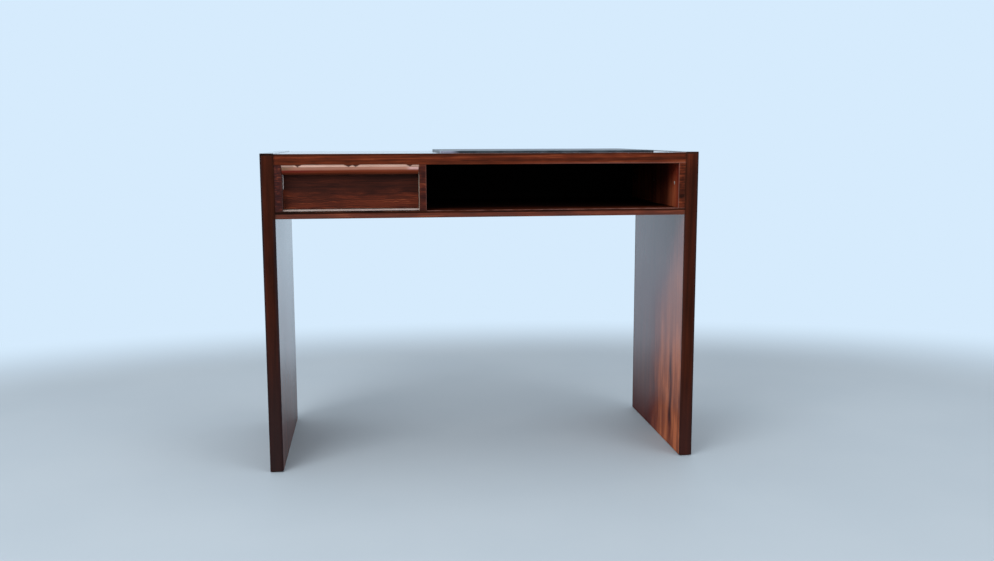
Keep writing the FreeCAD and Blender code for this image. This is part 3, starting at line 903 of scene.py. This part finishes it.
for strip, seed, tone, shade, over in (
    ("left_side_lipping", 47.0, -0.10, cross_cut(2.6, 0.0), None),
    ("divider_lipping", 48.7, -0.03, cross_cut(1.1, 0.0), divider_arris_highlight),
    ("right_side_lipping", 51.2, 0.0, cross_cut(1.0, 0.16), wall_arris_highlight),
):
    rosewood(strip, "XZY", seed, tone=tone, contrast=0.8, ring_scale=420.0, heart_place=(0.0, 0.02),
             wear=0.2, shade=shade, stain=purple_cast, over=over)
print("cross-cut strips laid, knot at Z", knot_height)

# %% [markdown]
# ## The drawer's face
# The face is the show piece: dark in its upper half, partly smoky dark wood and partly painted shade
# under the lip, and wavy orange and red figure in the lower half, brightest along the crest where the
# two meet. More contrast would only make the rings harder, so wavy lines of their own come and go below
# the middle. Along the upper part of the left edge a pale line is painted as a highlight.

# %% Drawer front
face_low, face_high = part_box("drawer_front")
face_middle = (face_low.z + face_high.z) / 2
lower_blend, crest_drop, crest_reach = (-0.008, 0.012), 0.012, (0.004, 0.014)
left_end_width, face_foot = 0.1, 0.01
# Where the painted highlight on the face's left edge lies.
highlight_line_width, highlight_line_heights, highlight_line_depth = (0.0010, 0.0016), (0.004, 0.008), (0.0006, 0.0012)
smoke = seen(76, 48, 46)


def lip_shade_and_wavy_lower_half(bench, axes):
    """Dark above, partly painted shade under the lip, and below it bright wavy lines that come and go.
    """
    wave = streaks(bench, "XZY", (14.0, 30.0, 30.0), 71.0) * 0.04 - 0.02
    height = axes["Z"] - face_middle
    lower = 1 - (height + wave).rise(*lower_blend)
    crest = 1 - abs(height + wave * 0.4 + crest_drop).rise(*crest_reach)
    left_end = 1 - axes["X"].rise(face_low.x, face_low.x + left_end_width)
    foot = 1 - axes["Z"].rise(face_low.z, face_low.z + face_foot)
    curl = streaks(bench, "XZY", (28.0, 25.0, 25.0), 72.0) * 0.020 - 0.010
    lines = bands(bench, (axes["Z"] + curl) * 220.0, 73.0, 2.0).rise(0.46, 0.64)
    patches = streaks(bench, "XZY", (22.0, 60.0, 60.0), 74.0).rise(0.38, 0.62)
    bright = 0.16 + lines * patches * 0.14 + crest * 0.07 + left_end * 0.04 - foot * 0.05
    return lower * bright - 0.12


def smoky_cast(bench, axes):
    """The face is a little greyer and purpler than the strips round it."""
    return 0.18, smoke


def edge_highlight_line(bench, axes):
    """A painted highlight: a pale line down the upper part of the face's left edge."""
    ragged = clouds(bench, 200.0, 77.0) * 0.0012 - 0.0006
    beside = 1 - (axes["X"] - face_low.x + ragged).rise(*highlight_line_width)
    upper = (axes["Z"] - face_middle).rise(*highlight_line_heights)
    skin_deep = 1 - (axes["Y"] - face_low.y).rise(*highlight_line_depth)
    return beside * upper * skin_deep, pale_veneer


rosewood("drawer_front", "XZY", 53.3, sway=0.05, ripple=0.02, ring_scale=220.0, contrast=0.7,
         heart_place=(-0.01, 0.02), shade=lip_shade_and_wavy_lower_half, stain=smoky_cast, over=edge_highlight_line)
print("drawer face laid, middle at Z", round(face_middle, 4))

# %% [markdown]
# ## The pull lip
# The lip along the face's upper edge is one moulded piece of solid rosewood in a redder tone. Hands that
# pull it have rubbed the colour off the upper half of its front, which is pale pink now, over a warm red
# border. Its right end is palest, a painted highlight, and its left end is olive, painted shade from the
# upright beside it. The wear could follow the mesh's curvature, but hands rub by height and reach, so
# the masks go by those, and what lies further back than fingers reach stays dark.

# %% Pull lip
# The second colour is a painted highlight for the lip's right end, the third painted shade for its left
# end.
rubbed_pink, highlight_pink, shade_olive = seen(170, 119, 101), seen(200, 158, 152), seen(120, 98, 76)
warm_red, crimson = seen(118, 50, 29), seen(108, 32, 26)
lip_low, lip_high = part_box("drawer_lip")
pink_heights, border_heights = (-0.0072, -0.0026), (-0.0130, -0.0070)
lip_highlight_end, lip_shade_end, crimson_end = (-0.030, -0.016), (0.004, 0.034), (0.03, 0.12)
finger_reach = (0.008, 0.022)


def hand_wear_and_end_light(bench, axes):
    """The upper half of the lip, where the colour is gone, with a painted highlight at the right end and
    painted shade at the left one, and a warm red border below it.
    """
    patches = streaks(bench, "XYZ", (16.0, 60.0, 60.0), 75.0, detail=3.0)
    height = axes["Z"] - lip_high.z + patches * 0.002
    upper = height.rise(*pink_heights)
    border = height.rise(*border_heights)
    from_left = axes["X"] - lip_low.x
    right_end = (axes["X"] - lip_high.x).rise(*lip_highlight_end)
    left_end = 1 - from_left.rise(*lip_shade_end)
    pink = bench.mix(left_end * 0.8, bench.mix(right_end, rubbed_pink, highlight_pink), shade_olive)
    red = bench.mix(from_left.rise(*crimson_end), crimson, warm_red)
    rightward = axes["X"].rise(lip_low.x, lip_high.x) * 0.5
    rubbed_off = upper * (0.34 + patches * 0.6 + rightward).lesser(1.0) * (1 - left_end * 0.2)
    in_reach = 1 - (axes["Y"] - lip_low.y + patches * 0.008).rise(*finger_reach) * 0.8
    return rubbed_off.greater(border * 0.75) * in_reach, bench.mix(upper, red, pink)


rosewood("drawer_lip", "XZY", 57.5, tone=0.10, contrast=0.4, ring_scale=200.0, heart_place=(0.02, 0.03),
         wear=0.1, over=hand_wear_and_end_light)
print("pull lip laid, rubbed over", round(lip_high.x - lip_low.x, 3), "m")

# %% [markdown]
# ## Beech
# Beech is the plain working wood: drawer sides, runners, rails and dowels. It is pale, nearly even in
# colour, and flecked with short darker rays. It is waxed, so it stays fairly dull. It has no figure
# worth modelling by rings, so a ramp between two colours does, and a board may bring its own pair.

# %% Beech finish
plain_beech = seen(168, 130, 104), seen(206, 174, 150)
beech_fleck = seen(134, 94, 70)
beech_edge = 0.003


def beech(node, order, seed, colours=plain_beech, edges=True, over=None):
    """Makes and lays a waxed beech finish on one node."""
    material, bench = new_bench("beech_" + node)
    figure = streaks(bench, order, (3.0, 60.0, 60.0), seed, detail=3.0)
    fibres = streaks(bench, order, (20.0, 900.0, 900.0), seed + 2)
    flecks = streaks(bench, order, (180.0, 900.0, 900.0), seed + 4).rise(0.62, 0.70)
    dark, light = colours
    colour = bench.ramp(figure * 0.7 + fibres * 0.3, [(0.30, dark), (0.62, light)])
    colour = bench.mix(flecks * 0.35, colour, beech_fleck)
    ends = end_grain(bench, order)
    colour = bench.mix(ends * 0.45, colour, dark)
    roughness = 0.42 + fibres * 0.14 + ends * 0.1
    if edges:
        worn = worn_edges(bench, node, seed, beech_edge)
        colour = bench.mix(worn * 0.3, colour, beech_fleck)
        roughness = roughness + worn * 0.1
    if over:
        mask, laid = over(bench, bench.axes())
        colour = bench.mix(mask, colour, laid)
    height = fibres * 0.5 - flecks * 0.5
    bench.surface(colour, roughness, height, constants={"Specular IOR Level": 0.3})
    lay(node, material)


print("beech finish ready, edges worn over", beech_edge, "m")

# %% [markdown]
# ## Beech pieces
# The drawer's box and what it runs on are plain beech. The bearer under the drawer is painted greyer, as
# a reflection of the floor, and the joint between it and the board that it lies on is in painted shade.
# A groove could be cut for that, but the two boards touch, so the shade is a dark line painted on the
# bearer's lower edge.

# %% Beech boards and dowels
# Greyer beech for the bearer is a painted reflection of the floor, and the next line sets the painted
# shade along its joint.
floor_reflection_beech = seen(168, 150, 144), seen(204, 188, 182)
joint_shade_height = (0.0006, 0.0014)
plain_pieces = (
    ("left_runner", "YXZ", 4.1), ("right_runner", "YXZ", 5.2),
    ("left_guide", "YZX", 6.3), ("right_guide", "YZX", 7.4), ("drawer_stops", "XYZ", 8.5),
    ("drawer_left_side", "YZX", 9.6), ("drawer_right_side", "YZX", 10.7), ("drawer_back", "XZY", 11.8),
)


def joint_shade(bench, axes):
    """Painted shade along the joint between the bearer and the bottom."""
    return 1 - (axes["Z"] - bay_floor).rise(*joint_shade_height), painted_shade_black


for node, order, seed in plain_pieces:
    beech(node, order, seed)
beech("front_bearer", "XYZ", 3.0, floor_reflection_beech, over=joint_shade)
for node, order in (("top_dowels", "XYZ"), ("bottom_dowels", "XYZ"), ("divider_dowels", "ZXY")):
    beech(node, order, 15.5, edges=False)
print("beech laid on", len(plain_pieces), "plain pieces, the bearer and the dowels")

# %% [markdown]
# ## The rail above the drawer
# The kicker rail keeps the drawer from tipping and shows as a cream strip above the lip. The marks on
# the top strip hang down over it, so the same mask serves here, on its front alone. Its two ends are
# darker, the left one most, as painted shade where the uprights beside them shade the rail.

# %% Kicker rail with its marks
cream_beech = seen(198, 156, 137), seen(226, 188, 172)
mark_brown = seen(68, 28, 14)
rail_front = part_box("kicker_rail")[0].y
# How far the painted shade reaches at the rail's left end.
rail_skin, rail_end_shade = (0.003, 0.008), (0.024, 0.032)


def marks_on_rail(bench, axes):
    """The marks, and painted shade at both ends, on the front of the rail."""
    near_front = 1 - (axes["Y"] - rail_front).rise(*rail_skin)
    left_end = 1 - (axes["X"] - left_wall).rise(*rail_end_shade)
    right_end = axes["X"].rise(last_mark, last_mark + last_mark_blend)
    shaded_ends = (left_end * 0.42).greater(right_end * 0.28)
    return hanging_marks(bench, axes).greater(shaded_ends) * near_front, mark_brown


beech("kicker_rail", "XYZ", 21.9, cream_beech, over=marks_on_rail)
print("kicker rail laid with", len(marks), "marks")

# %% [markdown]
# ## The drawer's bottom
# The bottom is birch plywood: pale faces, and layers that show only at its edges. Each layer could be a
# board, but they are glued into one sheet. So the middle layer is a darker band by height, on upright
# faces alone.

# %% Plywood
ply_low, ply_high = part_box("drawer_bottom")
ply_layers = 3
birch_dark, birch_light, birch_end = seen(184, 148, 112), seen(220, 190, 156), seen(150, 108, 74)


def plywood(node):
    """Makes and lays a clear finish on birch plywood."""
    material, bench = new_bench("birch_plywood")
    figure = streaks(bench, "XYZ", (2.0, 26.0, 26.0), 33.0, detail=3.0)
    fibres = streaks(bench, "XYZ", (12.0, 600.0, 600.0), 34.0)
    colour = bench.ramp(figure * 0.75 + fibres * 0.25, [(0.30, birch_dark), (0.66, birch_light)])
    level = (bench.axes()["Z"] - ply_low.z) * (ply_layers / (ply_high.z - ply_low.z))
    core = 1 - abs(level - ply_layers / 2).rise(0.45, 0.55)
    upright = 1 - bench.facing("Z").rise(0.2, 0.6)
    colour = bench.mix(core * upright * 0.7, colour, birch_end)
    bench.surface(colour, 0.4 + fibres * 0.12, fibres, strength=0.25)
    lay(node, material)


plywood("drawer_bottom")
print("plywood laid in", ply_layers, "layers,", round((ply_high.z - ply_low.z) * 1000, 1), "mm thick")

# %% [markdown]
# ## Screws
# The screws are steel that has dulled a little, with fine turning lines. Pure metal shows only what it
# mirrors and would go black in the bay, so the steel is mostly a pale dull surface, as oxidised steel
# is. Deep in the open bay it gets the same painted shade as the wood round it.

# %% Steel
steel_dark, steel_light = seen(196, 190, 182), seen(238, 234, 228)
screw_groups = ("side_screws", "kicker_screws", "drawer_bottom_screws")


def steel(node):
    """Makes and lays a dulled steel finish on one node."""
    material, bench = new_bench("dull_steel_" + node)
    tarnish = clouds(bench, 260.0, 35.0, detail=4.0)
    lines = clouds(bench, 2500.0, 36.0)
    colour = bench.ramp(tarnish, [(0.35, steel_dark), (0.6, steel_light)])
    # Painted shade deep in the open bay.
    colour = bench.mix(deep_in_bay(bench.axes()) * 0.9, colour, painted_shade_black)
    roughness = 0.4 + tarnish * 0.2
    bench.surface(colour, roughness, lines, strength=0.15, depth=0.0001, constants={"Metallic": 0.3})
    lay(node, material)


for node in screw_groups:
    steel(node)
print("steel laid on", len(screw_groups), "groups of screws")

# %% [markdown]
# ## Glides
# The glides under the slabs are dark brown nylon. Plastic like that is nearly even in colour, so soft
# clouds and a fine moulded skin are enough to keep it from looking flat.

# %% Nylon
nylon_dark, nylon_light = seen(48, 42, 38), seen(66, 58, 52)


def nylon(node):
    """Makes and lays a moulded nylon finish on one node."""
    material, bench = new_bench("brown_nylon")
    shading = clouds(bench, 90.0, 37.0, detail=3.0)
    fine = clouds(bench, 1800.0, 38.0)
    colour = bench.ramp(shading, [(0.3, nylon_dark), (0.7, nylon_light)])
    bench.surface(colour, 0.46 + shading * 0.14, fine, strength=0.2, depth=0.0002)
    lay(node, material)


nylon("floor_glides")
print("nylon laid on the glides")

# %% [markdown]
# ## The writing pad
# The pad is thin leather drawn over a board and turned under, so it has no sharp edge anywhere, its
# face is a little crowned and a creased line runs round it. Cloth simulation would swell it like a
# cushion, and insets alone leave the corners to the subdivision surface, which pulls them in far too
# much. So a box is cut by planes into strips along its edges: close cuts hold the rim and the crease,
# and wide fields between them are free to crown.

# %% Pad cage
pad_low, pad_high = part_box("writing_pad")
pad_size = pad_high - pad_low
pad_middle = (pad_low + pad_high) / 2
corner_round = 0.009
rim_cuts = (0.0012, 0.005, corner_round)
crease_start, crease_line, crease_end = 0.0100, 0.0108, 0.0116
field_cuts = (0.03, 0.09)
upper_cut, lower_cut = 0.0012, 0.0006

cage = bmesh.new()
bmesh.ops.create_cube(cage, size=1.0, matrix=Matrix.LocRotScale(pad_middle, None, pad_size))


def cut(place, direction):
    """Cuts the whole cage along a plane."""
    whole = cage.verts[:] + cage.edges[:] + cage.faces[:]
    bmesh.ops.bisect_plane(cage, geom=whole, plane_co=place, plane_no=direction)


for inset in rim_cuts + (crease_start, crease_line, crease_end) + field_cuts:
    step = Vector((inset, inset, 0.0))
    for axis in ((1.0, 0.0, 0.0), (0.0, 1.0, 0.0)):
        cut(pad_low + step, axis)
        cut(pad_high - step, axis)
cut(pad_high - Vector((0.0, 0.0, upper_cut)), (0.0, 0.0, 1.0))
cut(pad_low + Vector((0.0, 0.0, lower_cut)), (0.0, 0.0, 1.0))
print("pad cage:", len(cage.faces), "faces after the cuts")

# %% [markdown]
# ## Crown, crease and corners of the pad
# Each point's distance from the rim says what happens to it: the face falls a little towards the rim,
# and the crease is a shallow groove. A bevel would round the corners with new faces that break the
# strips. Instead the points of the four corner squares move on to a quarter disc, so that the square's
# outer edge becomes the round corner.

# %% Pad crown, crease and corners
rim_drop, crease_depth = 0.0006, 0.0005
crease_tolerance = 0.0002


def inset_of(point):
    """How far a point lies inside the pad's outline."""
    return min(pad_size[i] / 2 - abs(point[i] - pad_middle[i]) for i in (0, 1))


def rounded(point):
    """Moves a point of a corner square on to a quarter disc."""
    away = [max(corner_round - pad_size[i] / 2 + abs(point[i] - pad_middle[i]), 0.0) for i in (0, 1)]
    for i, own, other in ((0, away[0], away[1]), (1, away[1], away[0])):
        pulled = own * math.sqrt(1 - other * other / (2 * corner_round * corner_round))
        point[i] -= math.copysign(own - pulled, point[i] - pad_middle[i])


for vert in cage.verts:
    inset = inset_of(vert.co)
    if vert.co.z > pad_middle.z:
        fall = max(1 - inset / field_cuts[-1], 0.0)
        vert.co.z -= rim_drop * fall * fall
    if vert.co.z > pad_high.z - 2 * rim_drop and abs(inset - crease_line) < crease_tolerance:
        vert.co.z -= crease_depth
    rounded(vert.co)
for face in cage.faces:
    face.smooth = True
bmesh.ops.recalc_face_normals(cage, faces=cage.faces)
print("pad crown", rim_drop * 1000, "mm, crease", crease_depth * 1000, "mm deep")

# %% [markdown]
# ## The pad as a piece
# The cage becomes a piece that stands for the plain CAD solid. Its rounding could be fixed in the mesh,
# but a live subdivision surface keeps the cage small. The piece rides on the carcass.

# %% Pad piece
scene = bpy.context.scene


def add_object(name, data):
    """A new object in the scene, at the origin."""
    made = bpy.data.objects.new(name, data)
    scene.collection.objects.link(made)
    return made


def add_mesh(name, shape):
    """A new object with the mesh that a bmesh holds."""
    mesh = bpy.data.meshes.new(name)
    shape.to_mesh(mesh)
    shape.free()
    return add_object(name, mesh)


leather_pad = add_mesh("leather_pad", cage)
rounding = leather_pad.modifiers.new("rounding", "SUBSURF")
rounding.levels = rounding.render_levels = 2
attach(leather_pad, "carcass")
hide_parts("writing_pad")
print("pad piece:", [round(v, 4) for v in pad_size], "m")

# %% [markdown]
# ## Leather
# Smooth leather has a skin of small cells with creases between them. A noise alone looks like plaster,
# so a Voronoi pattern gives the cells. The colour is a slate blue that is nearly black, paler where
# hands and sleeves have rubbed the rim, with a painted highlight at the front left corner, and darker at
# the right end.

# %% Pad leather
slate_dark, slate_light, slate_crease = seen(42, 51, 59), seen(54, 65, 74), seen(26, 31, 37)
# The pale lavender for the front left corner is a painted highlight.
slate_worn, corner_highlight, dark_end = seen(104, 114, 122), seen(168, 174, 198), seen(24, 34, 42)
cell_scale = 900.0
pad_edge, corner_edge = 0.006, 0.008
corner_highlight_length, corner_highlight_depth, dark_length = (0.022, 0.046), (0.02, 0.06), (0.02, 0.12)


def leather(piece, node):
    """Makes a leather finish and gives it to the piece that stands for the node."""
    material, bench = new_bench("slate_leather")
    axes = bench.axes()
    sockets = {"Vector": bench.place(), "Scale": cell_scale, "Randomness": 0.9}
    cells = bench.node("ShaderNodeTexVoronoi", {"feature": "DISTANCE_TO_EDGE"}, sockets, "Distance")
    creases = 1 - cells.rise(0.02, 0.16)
    shading = clouds(bench, 7.0, 91.0, detail=4.0)
    worn = worn_edges(bench, node, 93.0, pad_edge)
    colour = bench.ramp(shading, [(0.30, slate_dark), (0.70, slate_light)])
    colour = bench.mix(creases * 0.35, colour, slate_crease)
    colour = bench.mix(worn * 0.35, colour, slate_worn)
    left = 1 - (axes["X"] - pad_low.x).rise(*corner_highlight_length)
    front = 1 - (axes["Y"] - pad_low.y).rise(*corner_highlight_depth)
    corner = left * front * edge_nearness(bench, node, corner_edge)
    colour = bench.mix(corner * 0.8, colour, corner_highlight)
    right_end = 1 - (pad_high.x - axes["X"]).rise(*dark_length)
    colour = bench.mix(right_end * 0.4, colour, dark_end)
    roughness = 0.26 + shading * 0.08 + creases * 0.1
    bench.surface(colour, roughness, 1 - creases, strength=0.2, depth=0.0002)
    piece.data.materials.append(material)


leather(leather_pad, "writing_pad")
print("leather laid, cells of about", round(1000 / cell_scale, 1), "mm")

# %% [markdown]
# ## Floor
# The desk stands on a plain pale grey floor that fades into a pale, slightly blue background. The floor
# keeps the desk's shadow near it. A backdrop that curves up would do, but it has to be lit evenly. Here,
# further out, rays from the camera and mirrored rays see the background colour itself, and all other
# rays still see the grey floor, so that the fade adds no light. Mirrored rays fade sooner than the
# camera's, which decides how much of the floor a lacquered slab mirrors.

# %% Floor
background = seen(214, 235, 253)
floor_light, floor_dark = seen(184, 196, 205), seen(178, 191, 201)
floor_radius, floor_segments = 9.0, 64
camera_fade, mirror_fade = (0.95, 1.7), (0.55, 1.3)
side_stretch = 0.6


def background_rays(bench):
    """Rays from the camera, and rays that a surface mirrors or lets through."""
    rays = bench.node("ShaderNodeLightPath", output="Is Camera Ray")
    return rays, rays.sibling("Is Glossy Ray").greater(rays.sibling("Is Transmission Ray"))


def floor_finish():
    """Pale grey with soft clouds, fading into the background."""
    material, bench = new_bench("pale_floor")
    axes = bench.axes()
    sideways = axes["X"] * side_stretch
    distance = (sideways * sideways + axes["Y"] * axes["Y"]) ** 0.5
    shading = clouds(bench, 3.0, 95.0, detail=5.0)
    grey = bench.mix(shading.rise(0.3, 0.7) * 0.5, floor_light, floor_dark)
    sockets = {"Base Color": grey, "Roughness": 0.6, "Specular IOR Level": 0.2}
    ground = bench.node("ShaderNodeBsdfPrincipled", {}, sockets)
    glow = bench.node("ShaderNodeEmission", {}, {"Color": background, "Strength": 1.0})
    rays, mirrored = background_rays(bench)
    fade = (distance.rise(*camera_fade) * rays).greater(distance.rise(*mirror_fade) * mirrored)
    shown = bench.node("ShaderNodeMixShader", {}, {"Fac": fade, "Shader": ground, "Shader_001": glow})
    bench.node("ShaderNodeOutputMaterial", {}, {"Surface": shown})
    return material


disc = bmesh.new()
bmesh.ops.create_circle(disc, cap_ends=True, segments=floor_segments, radius=floor_radius)
floor = add_mesh("floor", disc)
floor.data.materials.append(floor_finish())
print("floor:", floor_radius, "m radius, fading from", camera_fade[0], "to", camera_fade[1])

# %% [markdown]
# ## World
# The world gives the background to the camera and to mirrored rays, and a plain light to the rest that
# is stronger from above than from the sides. A picture of a studio could light the desk too, but plain
# light keeps its colours true. Mirrored rays that leave towards the front find it dimmer there, as in
# front of a real desk, where nothing pale stands close.

# %% World
ambient_side, ambient_above, front_dim = 0.56, 0.66, 0.06
ambient_colour = seen(246, 250, 255)
scene.view_settings.view_transform = "Standard"
world = bpy.data.worlds.new("studio")
scene.world = world
world.use_nodes = True

bench = Bench(world.node_tree)
rays, mirrored = background_rays(bench)
direction = bench.node("ShaderNodeTexCoord", output="Generated")
heading = bench.node("ShaderNodeSeparateXYZ", {}, {"Vector": direction}, "Y")
rearward = heading.rise(-0.7, 0.2)
level = rays.greater(front_dim + rearward * (1 - front_dim))
shown = bench.node("ShaderNodeBackground", {}, {"Color": background, "Strength": level})
upward = heading.sibling("Z").rise(-0.1, 0.9)
ambient = ambient_side + upward * (ambient_above - ambient_side)
lit = bench.node("ShaderNodeBackground", {}, {"Color": ambient_colour, "Strength": ambient})
seen_rays = rays.greater(mirrored)
surface = bench.node("ShaderNodeMixShader", {}, {"Fac": seen_rays, "Shader": lit, "Shader_001": shown})
bench.node("ShaderNodeOutputWorld", {}, {"Surface": surface})
print("world: ambient", ambient_side, "from the sides,", ambient_above, "from above")

# %% [markdown]
# ## Lamps
# One large lamp stands at the front left, a weaker one at the front right, and the largest hangs above.
# A small lamp or a sun would draw hard shadows. Large squares close to the desk give the soft ones of a
# studio, and they are hidden from the camera itself.

# %% Lamps
lamps = (
    ("key", (-2.0, -2.4, 2.4), (0.0, -0.1, 0.5), 2.0, 58.0),
    ("fill", (2.2, -2.4, 1.9), (0.0, -0.1, 0.5), 1.8, 22.0),
    ("overhead", (0.0, -0.2, 3.2), (0.0, -0.1, 0.7), 2.6, 20.0),
)


def soft_lamp(name, place, target, size, power):
    """A square lamp that looks at a target."""
    data = bpy.data.lights.new(name, "AREA")
    data.shape = "SQUARE"
    data.size = size
    data.energy = power
    lamp = add_object(name, data)
    lamp.location = place
    lamp.rotation_euler = (Vector(target) - Vector(place)).to_track_quat("-Z", "Y").to_euler()
    lamp.visible_camera = False


for lamp in lamps:
    soft_lamp(*lamp)
print("lamps:", [(name, power) for name, place, target, size, power in lamps])

# %% [markdown]
# ## Camera
# The camera stands a little above the top and left of the middle, and looks slightly down and to the
# right. It could be placed by eye, but its place, angles and focal length were solved from the desk's
# straight edges. The focal length is in pixels of a frame that is 994 wide, and Blender wants it in
# millimetres of a 36 mm sensor.

# %% Camera
frame_width, sensor_width = 994, 36.0
focal_pixels = 1010.8
camera_place = (-0.2521, -2.5156, 0.7648)
turn_right, look_down, roll = (math.radians(angle) for angle in (6.946, 8.085, 0.142))

camera_data = bpy.data.cameras.new("camera")
camera_data.sensor_width = sensor_width
camera_data.lens = focal_pixels * sensor_width / frame_width
camera = add_object("camera", camera_data)
aim = Matrix.Rotation(-turn_right, 4, "Z") @ Matrix.Rotation(math.pi / 2 - look_down, 4, "X")
camera.matrix_world = Matrix.Translation(camera_place) @ aim @ Matrix.Rotation(-roll, 4, "Z")
scene.camera = camera
print("camera: lens", round(camera_data.lens, 2), "mm")

# %% [markdown]
# ## Sizes
# The dressed desk has to stay in the box of the CAD model. Reading the numbers off a render would not
# show that.
